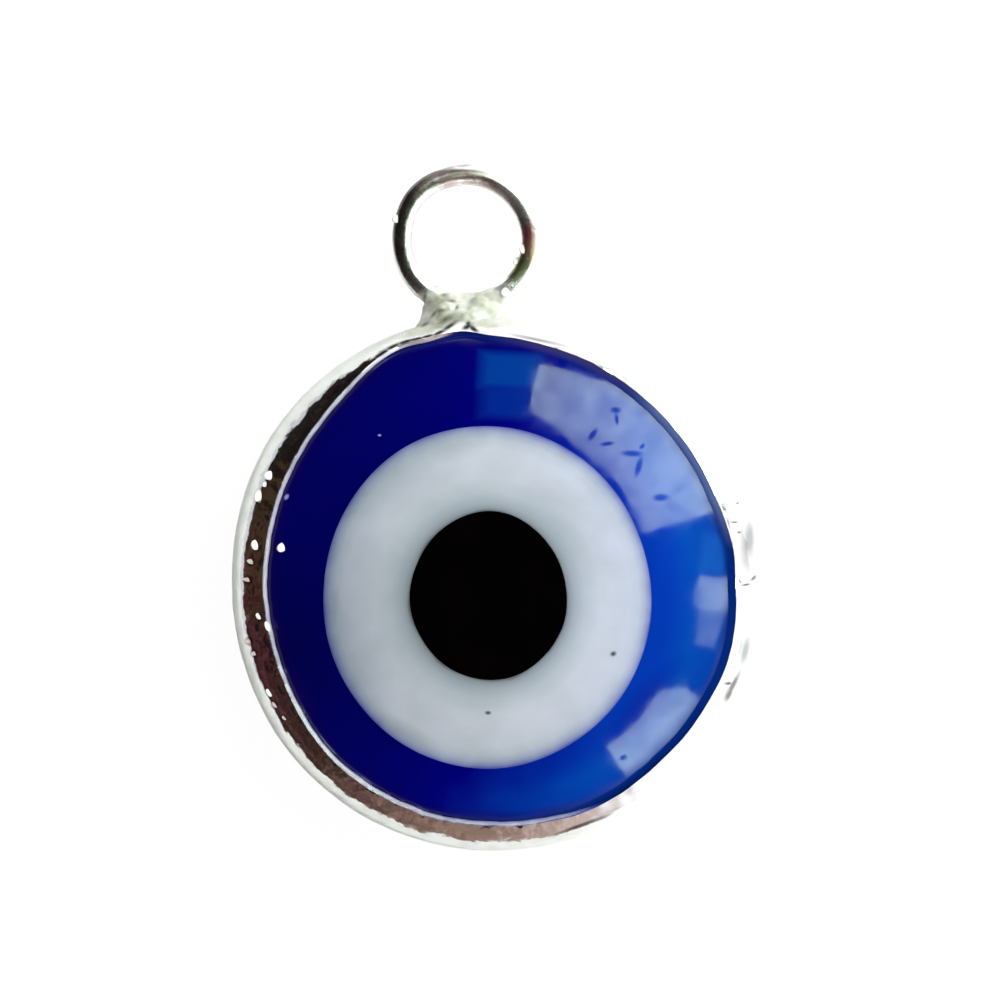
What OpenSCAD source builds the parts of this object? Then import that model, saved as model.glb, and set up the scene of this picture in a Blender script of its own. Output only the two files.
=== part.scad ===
// Evil eye pendant: a domed disc of blue glass with a white ring and a black pupil fused
// into it, wrapped by a plated metal edge that carries a soldered wire loop.
// It lies on its back. The axis of the disc is Z, the loop points to +Y, and the origin is
// the middle of the back.

/* [Disc] */
// Diameter of the disc over its metal edge
disc_d = 12; // [10:0.1:20]
// Height of the edge, from the back to the top of the front shoulder
edge_h = 2.2; // [1.9:0.1:3]
// Height of the dome above the edge
dome_rise = 0.8; // [0.4:0.05:1.4]
// Rounding of the front shoulder, measured on the metal
shoulder_r = 1; // [0.7:0.05:1.2]
// Rounding of the back corner, measured on the metal
back_r = 0.6; // [0.5:0.05:0.7]

/* [Eye] */
// Diameter of the white ring
white_d = 7.44; // [5.5:0.02:8.5]
// Thickness of the white glass under the dome
white_t = 0.6; // [0.5:0.05:0.9]
// Middle of the white ring, across the disc
white_x = -0.16; // [-0.5:0.02:0.5]
// Middle of the white ring, along the disc towards the loop
white_y = -0.28; // [-0.5:0.02:0.5]
// Diameter of the pupil
pupil_d = 3.68; // [2:0.02:5]
// Thickness of the black glass under the dome
pupil_t = 0.35; // [0.2:0.05:0.4]
// Middle of the pupil, across the white ring
pupil_x = -0.02; // [-0.3:0.02:0.3]
// Middle of the pupil, along the white ring towards the loop
pupil_y = 0.04; // [-0.3:0.02:0.3]

/* [Metal edge] */
// Thickness of the plated metal
skin_t = 0.2; // [0.1:0.05:0.3]
// How far the metal laps over the front, in plan
front_lap = 0.67; // [0.5:0.01:1]
// Middle of the front opening, across the disc
front_x = 0.14; // [-0.2:0.02:0.2]
// Middle of the front opening, along the disc towards the loop
front_y = 0.04; // [-0.2:0.02:0.2]
// Diameter of the rounded lip round the front opening
lip_d = 0.26; // [0.2:0.02:0.4]
// Width of the flat ring on the back, on which the pendant lies
back_land = 0.4; // [0.2:0.05:0.8]
// Clearance between two pieces that sit in each other
fit_gap = 0.02; // [0.01:0.01:0.05]

/* [Loop] */
// Outer diameter of the wire loop
loop_d = 3.46; // [2.6:0.02:6]
// Diameter of the wire
wire_d = 0.58; // [0.4:0.02:0.9]
// How far the loop bites into the metal edge
loop_bite = 0.04; // [0.02:0.01:0.1]

/* [Solder neck] */
// Width of the neck between its two hollow sides
neck_w = 1.7; // [1.2:0.05:2.2]
// Thickness of the solder
neck_t = 1.1; // [0.8:0.05:1.5]
// Middle of the neck, across the disc
neck_x = -0.16; // [-0.3:0.02:0.3]
// Radius of the hollow on the left side
left_hollow_r = 1; // [0.5:0.05:1.5]
// Radius of the hollow on the right side
right_hollow_r = 0.6; // [0.4:0.05:1.5]
// How far the hollows run past the metal edge, so that the solder meets it at an angle
hollow_bite = 0.05; // [0.03:0.01:0.1]
// How far the solder fills the bottom of the loop's hole
solder_fill = 0.1; // [0.05:0.01:0.3]

/* [Hidden] */
$fn = 128;
disc_r = disc_d / 2;
total_h = edge_h + dome_rise;
seat_in = skin_t;
glass_in = skin_t + fit_gap;
// The shoulder's round is centred here in the section
shoulder_x = disc_r - shoulder_r;
shoulder_z = edge_h - shoulder_r;
// The dome of the glass touches the glass shoulder and peaks at the full thickness
glass_shoulder_r = shoulder_r - glass_in;
peak = total_h - shoulder_z;
glass_dome_r = (pow(shoulder_x, 2) + pow(peak, 2) - pow(glass_shoulder_r, 2))
    / (2 * (peak - glass_shoulder_r));
dome_z = total_h - glass_dome_r;
dome_slope = asin(shoulder_x / (glass_dome_r - glass_shoulder_r));
front_r = disc_r - front_lap;
back_open_r = disc_r - back_r - back_land;
loop_r = loop_d / 2 - wire_d / 2;
loop_y = disc_r + loop_d / 2 - loop_bite;
loop_z = edge_h / 2;

// Height of the dome's surface at a distance from the axis, a depth inside the metal's outside
function surface_z(r, inset) =
    r < shoulder_x + (shoulder_r - inset) * sin(dome_slope)
        ? dome_z + sqrt(pow(glass_dome_r + glass_in - inset, 2) - r * r)
        : shoulder_z + sqrt(pow(shoulder_r - inset, 2) - pow(r - shoulder_x, 2));

// Middle of the round hollow on one side of the neck, which meets the disc and the neck
function hollow_at(side, r) =
    let (x = neck_x + side * (neck_w / 2 + r))
    [x, sqrt(pow(disc_r + r - hollow_bite, 2) - x * x)];

// Half the section of the disc, a depth inside the metal's outside
module disc_section(inset) {
    intersection() {
        square([disc_r, total_h + skin_t]);
        union() {
            translate([shoulder_x, shoulder_z]) circle(r = shoulder_r - inset);
            intersection() {
                translate([0, dome_z]) circle(r = glass_dome_r + glass_in - inset);
                polygon([
                    [-1, back_r],
                    [shoulder_x, back_r],
                    [shoulder_x, shoulder_z],
                    [shoulder_x + total_h * tan(dome_slope), shoulder_z + total_h],
                    [-1, shoulder_z + total_h],
                ]);
            }
            translate([0, back_r]) square([disc_r - inset, shoulder_z - back_r]);
            translate([disc_r - back_r, back_r]) circle(r = back_r - inset);
            translate([0, inset]) square([disc_r - back_r, back_r - inset + (shoulder_z - back_r) / 2]);
        }
    }
}

module disc_body(inset) {
    rotate_extrude() disc_section(inset);
}

// A round plug of glass, a stated thickness deep under the dome, which reaches above it
module plug(d, t, at) {
    difference() {
        translate([at[0], at[1], shoulder_z]) cylinder(d = d, h = total_h);
        translate([0, 0, dome_z]) sphere(r = glass_dome_r - t, $fn = 256);
    }
}

module dome_ball() {
    translate([0, 0, dome_z]) sphere(r = glass_dome_r, $fn = 256);
}

white_at = [white_x, white_y];
pupil_at = white_at + [pupil_x, pupil_y];

module blue_glass() {
    color([0.02, 0.09, 0.5])
    difference() {
        disc_body(glass_in);
        plug(white_d + 2 * fit_gap, white_t + fit_gap, white_at);
    }
}

module white_ring() {
    color([0.82, 0.86, 0.9])
    difference() {
        intersection() {
            plug(white_d, white_t, white_at);
            dome_ball();
        }
        plug(pupil_d + 2 * fit_gap, pupil_t + fit_gap, pupil_at);
    }
}

module black_pupil() {
    color([0.01, 0.01, 0.012])
    intersection() {
        plug(pupil_d, pupil_t, pupil_at);
        dome_ball();
    }
}

// The metal skin round the glass, open in front and behind
module metal_edge() {
    difference() {
        disc_body(0);
        translate([front_x, front_y, shoulder_z]) cylinder(r = front_r, h = total_h);
        translate([0, 0, -skin_t]) cylinder(r = back_open_r, h = shoulder_z + skin_t);
    }
}

// The rounded lip of the front opening, tilted to follow the dome
module lip() {
    lip_in = skin_t / 2;
    shift = norm([front_x, front_y]);
    low_z = surface_z(front_r + shift, lip_in);
    high_z = surface_z(front_r - shift, lip_in);
    tilt = atan2(high_z - low_z, 2 * front_r);
    translate([front_x, front_y, (low_z + high_z) / 2])
        rotate(atan2(front_y, front_x))
        rotate([0, tilt, 0])
        rotate_extrude()
        translate([front_r + skin_t / 2, 0])
        circle(d = lip_d, $fn = 32);
}

// Takes away a round hole whose wall bulges, in a round a little larger than the solder is thick
module hollow(at, r) {
    bulge_r = 0.55 * neck_t;
    translate([at[0], at[1], loop_z])
        rotate_extrude()
        difference() {
            translate([0, -neck_t]) square([r + bulge_r, 2 * neck_t]);
            translate([r + bulge_r, 0]) circle(r = bulge_r, $fn = 64);
        }
}

module neck() {
    left = hollow_at(-1, left_hollow_r);
    right = hollow_at(1, right_hollow_r);
    difference() {
        translate([0, 0, loop_z - neck_t / 2])
            linear_extrude(neck_t)
            polygon([[0, disc_r / 2], right, left]);
        hollow(left, left_hollow_r);
        hollow(right, right_hollow_r);
        hollow([0, loop_y], loop_r - wire_d / 2 - solder_fill);
    }
}

module wire_loop() {
    translate([0, loop_y, loop_z])
        rotate_extrude()
        translate([loop_r, 0])
        circle(d = wire_d, $fn = 48);
}

module silver_setting() {
    color([0.78, 0.77, 0.75])
    difference() {
        union() {
            metal_edge();
            lip();
            neck();
            wire_loop();
        }
        disc_body(seat_in);
    }
}

blue_glass();
white_ring();
black_pupil();
silver_setting();
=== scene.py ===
import math

import bmesh
import bpy
import numpy as np
from mathutils import Matrix, Vector, noise


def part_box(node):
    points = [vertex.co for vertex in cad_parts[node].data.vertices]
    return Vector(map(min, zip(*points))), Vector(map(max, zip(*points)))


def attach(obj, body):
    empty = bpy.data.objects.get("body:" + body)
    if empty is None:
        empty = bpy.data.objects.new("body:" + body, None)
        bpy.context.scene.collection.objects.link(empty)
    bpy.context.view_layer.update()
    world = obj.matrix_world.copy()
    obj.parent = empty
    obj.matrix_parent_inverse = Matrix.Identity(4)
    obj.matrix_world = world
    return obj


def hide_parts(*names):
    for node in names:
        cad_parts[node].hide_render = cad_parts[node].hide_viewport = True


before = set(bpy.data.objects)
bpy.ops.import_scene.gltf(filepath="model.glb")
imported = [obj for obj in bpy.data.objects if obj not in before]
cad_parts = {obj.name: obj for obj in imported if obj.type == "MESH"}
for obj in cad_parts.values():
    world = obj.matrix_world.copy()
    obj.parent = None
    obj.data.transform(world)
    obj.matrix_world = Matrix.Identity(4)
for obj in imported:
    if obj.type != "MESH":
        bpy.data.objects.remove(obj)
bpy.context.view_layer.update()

# The view of the photograph.
# The charm lies on its back and is seen from straight above, turned a little, so that the
# loop leans to the left. The disc is 12 mm wide and fills a bit over half of the frame.
mm = 0.001
photo_scale = 44.67 / mm
photo_middle = (500, 500)
photo_disc = (494, 583)
photo_lean = math.radians(4.25)
edge_middle_z = 1.2 * mm


def on_charm(px, py):
    """The place on the charm, across and along it, that the photograph shows at a pixel."""
    right = (px - photo_disc[0]) / photo_scale
    up = (photo_disc[1] - py) / photo_scale
    return Vector((
        right * math.cos(photo_lean) + up * math.sin(photo_lean),
        up * math.cos(photo_lean) - right * math.sin(photo_lean),
    ))


camera = bpy.data.objects.new("camera", bpy.data.cameras.new("camera"))
bpy.context.scene.collection.objects.link(camera)
bpy.context.scene.camera = camera
camera.data.lens = 150
camera.data.clip_start = 1 * mm
frame_width = photo_middle[0] * 2 / photo_scale
camera_height = frame_width * camera.data.lens / camera.data.sensor_width
camera.location = (*on_charm(*photo_middle), edge_middle_z + camera_height)
camera.rotation_euler = (0, 0, -photo_lean)
bpy.context.scene.view_settings.view_transform = "Standard"

# Blue glass.
# A drop of cobalt glass, pressed flat on its back and domed in front, with a seat where the
# white was melted in. It is the body of the charm, and the metal was plated on over its edge.
glass_low, glass_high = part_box("blue_glass")
disc_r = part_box("silver_setting")[1].x
glass_r = glass_high.x
glass_back_z = glass_low.z
peak_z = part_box("black_pupil")[1].z
metal_t = disc_r - glass_r
shoulder_r = 1.0 * mm
shoulder_x = disc_r - shoulder_r
shoulder_z = 1.2 * mm
corner_r = 0.6 * mm
rise = peak_z - shoulder_z
dome_r = (
    (shoulder_x ** 2 + rise ** 2 - (shoulder_r - metal_t) ** 2)
    / (2 * (rise - shoulder_r + metal_t))
)
dome_z = peak_z - dome_r
# The dome of the glass runs on under the metal and turns down there in a tighter round
glass_round_r = 0.5 * mm
glass_round_x = glass_r - glass_round_r
glass_slope = math.asin(glass_round_x / (dome_r - glass_round_r))
glass_round_z = dome_z + (dome_r - glass_round_r) * math.cos(glass_slope)
glass_edge_r = glass_round_x + glass_round_r * math.sin(glass_slope)
# Slow waves in the front of the glass: height and size in mm and a seed, and their mean depth
glass_waves = ((0.006, 2.1, 3.1), (0.002, 0.5, 8.4))
wave_depth = 0.004
# The white that sits in the blue: its middle, half its width and its length in mm, the slow
# waves of its outline, how deep it goes and the room under it
white_middle = np.array((-0.18, -0.28)) * mm
white_halves = (3.62, 3.785)
white_waves = ((3, 0.012, 0.6), (5, 0.008, 2.0), (9, 0.004, 1.0))
white_depth = 0.6 * mm
white_room = 0.05 * mm
spokes = 480
turn = np.linspace(0, 2 * math.pi, spokes, endpoint=False)
top_steps = 60
# Distance from the middle of the disc to the lip of the metal, every 7.5 degrees round the
# photograph from the right, in hundredths of a mm
lip_reach = (
    540, 541, 536, 531, 531, 531, 532, 534, 537, 541, 544, 549, 555, 566, 562, 567,
    555, 540, 530, 524, 519, 515, 511, 509, 509, 508, 508, 510, 514, 520, 525, 528,
    530, 531, 534, 534, 534, 537, 539, 544, 548, 546, 544, 546, 547, 550, 550, 546,
)
lip_z = 2.05 * mm
# The lip stands this far inside that line and wavers a little, in fine waves
lip_setback = 0.022 * mm
lip_waver = 0.010 * mm
lip_waves = 16
# How far from the lip the glass gets its painted shade and glow
lip_shade_reach = 0.5 * mm
# Edges sharper than this are creases in the shading
crease = math.radians(40)
# Small marks in the surface of the blue: the pixel that shows each, half its length and width
# in mm, its turn in degrees
scratches = (
    (591.5, 435.5, 0.21, 0.085, 55), (630.5, 454, 0.31, 0.095, -2), (637, 467, 0.29, 0.095, 74),
    (659, 497.5, 0.23, 0.11, 4), (614.5, 411, 0.15, 0.09, -3), (615.5, 420, 0.17, 0.06, 98),
    (606, 444.5, 0.20, 0.065, 8), (640.5, 447, 0.10, 0.06, 50), (622, 755, 0.12, 0.08, 20),
)
bubbles = ((288.5, 497, 0.085, 0.055, 55), (381, 436, 0.05, 0.03, 0))
# Painted light: places where the window's light glows in the blue, as soft rectangles
top_glow = ((511, 372, 0.82, 0.48, -3),)
side_glow = ((712, 553, 0.40, 0.56, -8),)
dim_glow = ((508, 404, 0.78, 0.44, -3),)
# The blue is deepest at the lower left and purest beside the white at the lower right, and it
# has a painted gleam along the lip at the top and the upper right
deep_place = ((290, 640, 1.6, 2.6, 10),)
pure_place = ((640, 702, 1.6, 0.42, 50),)
top_painted_gleam = ((575, 362, 2.2, 0.7, -22),)
right_painted_gleam = ((690, 456, 2.6, 0.8, -57),)
# Painted light: the blue is palest towards the window, a little below the right of the photograph
painted_light_bearing = math.radians(-12) - photo_lean
painted_light_way = (math.cos(painted_light_bearing), math.sin(painted_light_bearing), 0)
# A painted glow under the lip grows towards the upper right, up to this far from the middle
painted_glow_way = (0.91, 0.42, 0)
painted_glow_reach = 3.5 * mm


def flow(x, y, size, seed):
    """The slow waves that molten glass keeps, from -1 to 1, at a place on the disc."""
    return np.array([
        noise.noise(Vector((a / size, b / size, seed))) for a, b in zip(x.ravel(), y.ravel())
    ]).reshape(x.shape)


def glass_top(x, y):
    """Height of the glass in front, with its slow waves."""
    r = np.hypot(x, y)
    dome = dome_z + np.sqrt(np.maximum(dome_r ** 2 - r ** 2, 0))
    turned = glass_round_z + np.sqrt(np.maximum(glass_round_r ** 2 - (r - glass_round_x) ** 2, 0))
    z = np.where(r < glass_edge_r, dome, turned)
    inside = np.clip((glass_edge_r - r) / mm, 0, 1)
    waves = sum(height * flow(x, y, size * mm, seed) for height, size, seed in glass_waves)
    return z + inside * mm * (waves - wave_depth)


def oval(middle, across, along, waves):
    """A hand-made round: an oval with a few slow waves, each a count, a size in mm and a start."""
    r = across * along / np.hypot(along * np.cos(turn), across * np.sin(turn))
    for count, size, start in waves:
        r = r + size * np.cos(count * turn + start)
    return middle + mm * r[:, None] * np.stack((np.cos(turn), np.sin(turn)), 1)


white_edge = oval(white_middle, *white_halves, white_waves)


def ring_on_top(xy):
    """An outline laid on the front of the glass."""
    return np.column_stack((xy, glass_top(xy[:, 0], xy[:, 1])))


def ring_at(r, z):
    return np.column_stack((r * np.cos(turn), r * np.sin(turn), np.full(spokes, z)))


def lowered(ring, depth, shrink=1.0):
    """The same ring a depth further down, drawn in a little towards its middle."""
    middle = ring.mean(0)
    return np.column_stack((middle[:2] + (ring[:, :2] - middle[:2]) * shrink, ring[:, 2] - depth))


def spread(inner, outer, count):
    """Rings on the dome from one outline to another, without the first."""
    return [ring_on_top(inner + (outer - inner) * k / count) for k in range(1, count + 1)]


def ring_mesh(name, rings, closed=False):
    """A closed mesh through a list of rings, joined end to end or capped."""
    n = len(rings[0])
    points = [p for ring in rings for p in ring]
    faces = []
    for k in range(len(rings) if closed else len(rings) - 1):
        a, b = k * n, (k + 1) % len(rings) * n
        faces += [(a + i, a + (i + 1) % n, b + (i + 1) % n, b + i) for i in range(n)]
    if not closed:
        for start, last in ((0, False), ((len(rings) - 1) * n, True)):
            points.append(np.mean(rings[start // n], 0))
            tip = len(points) - 1
            for i in range(n):
                pair = (start + i, start + (i + 1) % n)
                faces.append((*pair, tip) if last else (*reversed(pair), tip))
    mesh = bpy.data.meshes.new(name)
    mesh.from_pydata([tuple(p) for p in points], [], faces)
    shaper = bmesh.new()
    shaper.from_mesh(mesh)
    bmesh.ops.recalc_face_normals(shaper, faces=shaper.faces)
    shaper.to_mesh(mesh)
    shaper.free()
    mesh.shade_smooth()
    mesh.set_sharp_from_angle(angle=crease)
    piece = bpy.data.objects.new(name, mesh)
    bpy.context.scene.collection.objects.link(piece)
    return piece


def points_of(piece):
    points = np.empty(len(piece.data.vertices) * 3)
    piece.data.vertices.foreach_get("co", points)
    return points.reshape(-1, 3)


def mark_points(piece, name, values):
    """Keeps a value on each point of a piece for its material."""
    layer = piece.data.attributes.new(name, "FLOAT", "POINT")
    layer.data.foreach_set("value", np.asarray(values, dtype=np.float32))


def mark_rings(piece, name, values):
    """Keeps a value on the points of each ring of a capped piece."""
    mark_points(piece, name, np.append(np.repeat(values, spokes), (values[0], values[-1])))


def lip_at(bearing):
    """Distance from the axis to the lip of the metal at bearings on the charm."""
    table = np.array(lip_reach) * 0.01 * mm
    step = (bearing + photo_lean) / (2 * math.pi) % 1 * len(table)
    k = np.floor(step).astype(int)
    t = step - k
    before, here, after, beyond = (table[(k + n) % len(table)] for n in (-1, 0, 1, 2))
    curve = here + 0.5 * t * (after - before + t * (
        2 * before - 5 * here + 4 * after - beyond + t * (3 * (here - after) + beyond - before)))
    fine = np.array([
        noise.noise(Vector((math.cos(a) * lip_waves, math.sin(a) * lip_waves, 2.0))) for a in bearing
    ])
    # The photograph shows the lip a little large, since it is nearer than the middle of the edge
    nearer = (lip_z - edge_middle_z) / camera_height
    return curve * (1 - nearer) - lip_setback + lip_waver * fine


blue_rings = [lowered(ring_on_top(white_edge), white_depth + white_room, s) for s in (0.3, 0.98)]
blue_rings.append(ring_on_top(white_edge))
blue_rings += spread(white_edge, ring_at(glass_edge_r, 0)[:, :2], top_steps)
outward = [0] * 3 + [k / top_steps for k in range(1, top_steps + 1)]
for bend in np.linspace(glass_slope, math.pi / 2, 10)[1:]:
    blue_rings.append(ring_at(
        glass_round_x + glass_round_r * math.sin(bend), glass_round_z + glass_round_r * math.cos(bend)))
glass_corner_r = corner_r - metal_t
for bend in np.linspace(math.pi / 2, math.pi, 7):
    blue_rings.append(ring_at(
        glass_r - glass_corner_r * (1 - math.sin(bend)),
        glass_back_z + glass_corner_r * (1 + math.cos(bend)),
    ))
blue_rings += [ring_at(glass_r * s, glass_back_z) for s in (0.8, 0.5, 0.2)]
outward += [1] * (len(blue_rings) - len(outward))
blue_glass = ring_mesh("blue_glass_body", blue_rings)
mark_rings(blue_glass, "outward", outward)
blue_points = points_of(blue_glass)
blue_reach = np.hypot(blue_points[:, 0], blue_points[:, 1])
blue_lip = lip_at(np.arctan2(blue_points[:, 1], blue_points[:, 0]))
mark_points(blue_glass, "from_lip", np.clip((blue_lip - blue_reach) / lip_shade_reach, 0, 1))


def node_adder(tree):
    """A short way to add a node with its inputs in order, each a number, a colour or a link."""
    def add(kind, *inputs, **settings):
        node = tree.nodes.new("ShaderNode" + kind)
        for key, value in settings.items():
            setattr(node, key, value)
        for socket, value in zip(node.inputs, inputs):
            if isinstance(value, bpy.types.NodeSocket):
                tree.links.new(value, socket)
            elif value is not None:
                socket.default_value = value
        return node
    return add


def new_material(name):
    made = bpy.data.materials.new(name)
    made.use_nodes = True
    tree = made.node_tree
    return made, tree, tree.nodes["Principled BSDF"], node_adder(tree)


def ramp(add, value, stops):
    """Colours along a value: each stop is a place and a colour."""
    node = add("ValToRGB", value)
    ends = node.color_ramp.elements
    ends[0].position, ends[0].color = stops[0][0], (*stops[0][1], 1)
    ends[1].position, ends[1].color = stops[-1][0], (*stops[-1][1], 1)
    for place, colour in stops[1:-1]:
        ends.new(place).color = (*colour, 1)
    return node.outputs["Color"]


def blend(add, factor, first, second, kind="MIX"):
    """Two colours mixed or multiplied by a factor, each a colour or a link."""
    pair = [c if isinstance(c, bpy.types.NodeSocket) else (*c, 1) for c in (first, second)]
    # The node has sockets for numbers and vectors before those for colours
    other_kinds = (None,) * 5
    return add("Mix", factor, *other_kinds, *pair, data_type="RGBA", blend_type=kind).outputs[2]


def times(add, value, share):
    """A value times a share, each a number or a link."""
    return add("Math", value, share, operation="MULTIPLY").outputs[0]


def noise_field(add, place, size, detail):
    """Cloudy noise with waves of a size in mm."""
    return add("TexNoise", place, None, 1 / (size * mm), detail).outputs["Fac"]


def spots(add, place, marks, soft=0.6, square=False):
    """How far a place is inside small ovals or rectangles, from 0 to 1."""
    mask = 0.0
    for px, py, half_length, half_width, turned in marks:
        at = add(
            "Mapping", place, (*on_charm(px, py), 0), (0, 0, math.radians(turned) - photo_lean),
            (half_length * mm, half_width * mm, 1), vector_type="TEXTURE",
        ).outputs[0]
        flat = add("VectorMath", at, (1, 1, 0), operation="MULTIPLY").outputs[0]
        if square:
            sides = add("SeparateXYZ", add("VectorMath", flat, operation="ABSOLUTE").outputs[0])
            away = add("Math", sides.outputs["X"], sides.outputs["Y"], operation="MAXIMUM").outputs[0]
        else:
            away = add("VectorMath", flat, operation="LENGTH").outputs["Value"]
        mark = add("MapRange", away, 1.0 - soft, 1.0, 1.0, 0.0).outputs[0]
        mask = add("Math", mark, mask, operation="MAXIMUM").outputs[0]
    return mask


def melted_gloss(tree, shader, add, cloud, smoothest, dullest):
    """The gloss of melted glass, a little uneven with a cloudy noise."""
    rough = add("MapRange", cloud, 0.3, 0.7, smoothest, dullest).outputs[0]
    tree.links.new(rough, shader.inputs["Roughness"])
    shader.inputs["IOR"].default_value = 1.5


def cobalt_glass():
    made, tree, shader, add = new_material("cobalt_glass")
    place = add("TexCoord").outputs["Object"]
    edge = add("Attribute", attribute_name="outward").outputs["Fac"]
    from_lip = add("Attribute", attribute_name="from_lip").outputs["Fac"]
    clouds = noise_field(add, place, 1.1, 3)
    # Painted light: the blue is paler and greener towards the window and darker away from it
    along = add("VectorMath", place, painted_light_way, operation="DOT_PRODUCT").outputs["Value"]
    side = add("MapRange", along, -disc_r, disc_r, 0.0, 1.0).outputs[0]
    drift = add("Math", clouds, 0.16, -0.08, operation="MULTIPLY_ADD").outputs[0]
    tone = add("Math", side, drift, operation="ADD", use_clamp=True).outputs[0]
    depth = ramp(add, tone, (
        (0.0, (0.0004, 0.0003, 0.140)),
        (0.20, (0.0003, 0.0003, 0.150)),
        (0.37, (0.0003, 0.0003, 0.175)),
        (0.50, (0.0003, 0.0005, 0.250)),
        (0.59, (0.0003, 0.018, 0.345)),
        (0.70, (0.0004, 0.042, 0.430)),
        (0.79, (0.0008, 0.055, 0.460)),
        (0.90, (0.0006, 0.048, 0.400)),
        (1.0, (0.001, 0.060, 0.400)),
    ))
    by_ring = ramp(add, edge, (
        (0.0, (0.7, 0.62, 0.90)),
        (0.22, (1.0, 0.72, 0.96)),
        (0.5, (1.0, 1.22, 1.03)),
        (0.8, (1.0, 1.0, 1.0)),
    ))
    body = blend(add, 1.0, depth, by_ring, "MULTIPLY")
    deep = times(add, spots(add, place, deep_place, 0.9), 0.55)
    body = blend(add, deep, body, (0.0003, 0.0003, 0.072))
    pure = times(add, spots(add, place, pure_place, 0.8), 0.75)
    body = blend(add, pure, body, (0.0003, 0.014, 0.33))
    # Painted light where the window glows in the blue
    for marks, soft, colour in (
            (top_glow, 0.4, (0.0006, 0.044, 0.34)),
            (side_glow, 0.5, (0.003, 0.082, 0.46)),
            (dim_glow, 0.5, (0.0005, 0.020, 0.29))):
        body = blend(add, spots(add, place, marks, soft, square=True), body, colour)
    # Painted shade of the lip on the glass beside it: dark violet on the unlit left, darker on the lit
    # right
    left_lip_shade = ramp(add, from_lip, (
        (0.0, (16.0, 2.0, 0.6)),
        (0.25, (8.0, 1.0, 0.85)),
        (0.55, (1.0, 1.0, 1.0)),
    ))
    right_lip_shade = ramp(add, from_lip, (
        (0.0, (1.0, 0.45, 0.50)),
        (0.30, (1.0, 0.60, 0.75)),
        (0.52, (1.0, 1.0, 1.0)),
    ))
    lit = add("MapRange", side, 0.35, 0.6, 0.0, 1.0).outputs[0]
    body = blend(add, 1.0, body, blend(add, lit, left_lip_shade, right_lip_shade), "MULTIPLY")
    body = blend(add, spots(add, place, bubbles), body, (0.42, 0.36, 0.85))
    tree.links.new(body, shader.inputs["Base Color"])
    # Painted glow: daylight beside the lip on the upper right, as if carried along under the lip
    at_lip = add("MapRange", from_lip, 0.08, 0.34, 1.0, 0.0).outputs[0]
    upper_right = add("VectorMath", place, painted_glow_way, operation="DOT_PRODUCT").outputs["Value"]
    glow_share = add("MapRange", upper_right, 0.0, painted_glow_reach, 0.0, 1.0).outputs[0]
    painted_glow = (0.0, 0.0, 0.0)
    for share, colour in (
            (glow_share, (0.0008, 0.015, 0.135)),
            (spots(add, place, right_painted_gleam, 0.5), (0.09, 0.13, 0.26)),
            (spots(add, place, top_painted_gleam, 0.6), (0.035, 0.032, 0.11))):
        painted_glow = blend(add, times(add, at_lip, share), painted_glow, colour)
    tree.links.new(painted_glow, shader.inputs["Emission Color"])
    shader.inputs["Emission Strength"].default_value = 1
    melted_gloss(tree, shader, add, noise_field(add, place, 0.35, 2), 0.04, 0.10)
    scratched = spots(add, place, scratches, 0.6)
    gloss = add("Math", scratched, -0.44, 0.5, operation="MULTIPLY_ADD").outputs[0]
    tree.links.new(gloss, shader.inputs["Specular IOR Level"])
    return made


blue_glass.data.materials.append(cobalt_glass())
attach(blue_glass, "root")
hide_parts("blue_glass")

# White ring.
# A puddle of milky white glass, melted flush into the blue. Its edge bleeds a little blue, and
# it greys towards the black that was melted into its middle.
white_pits = ((611.5, 651.4, 0.095, 0.075, 20), (488.2, 709.4, 0.09, 0.06, 0))
white_greyings = (
    (353, 511, 0.30, 0.16, 20), (337, 600, 0.14, 0.5, 0), (396, 473, 1.7, 0.60, 40),
    (409, 731, 0.9, 0.28, -30), (452, 447, 1.0, 0.40, 12),
)
# More places where the white is greyed a little
white_shades = ((566, 530, 1.9, 0.75, -50), (548, 498, 1.2, 0.6, -30))
greying_colour = (0.22, 0.26, 0.30)
# Painted shade: the white is dimmer near its two sides, which are here across the disc
white_left_x = -3.8 * mm
white_right_x = 3.6 * mm
# The pupil that sits in the white, with the same measures as the white in the blue
pupil_middle = np.array((-0.135, -0.25)) * mm
pupil_halves = (1.72, 1.85)
pupil_waves = ((3, 0.014, 2.2), (4, 0.010, 0.4), (7, 0.005, 3.0))
pupil_depth = 0.35 * mm
pupil_room = 0.03 * mm
pupil_edge = oval(pupil_middle, *pupil_halves, pupil_waves)
pupil_rim = ring_on_top(pupil_edge)
white_rings = [lowered(ring_on_top(white_edge), white_depth, s) for s in (0.3, 0.93)]
white_rings.append(ring_on_top(white_edge))
white_rings += spread(white_edge, pupil_edge, top_steps)
white_rings += [lowered(pupil_rim, pupil_depth + pupil_room, s) for s in (0.98, 0.3)]
inward = [0] * 3 + [k / top_steps for k in range(1, top_steps + 1)] + [1] * 2
white_ring = ring_mesh("white_ring_glass", white_rings)
mark_rings(white_ring, "inward", inward)


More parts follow.
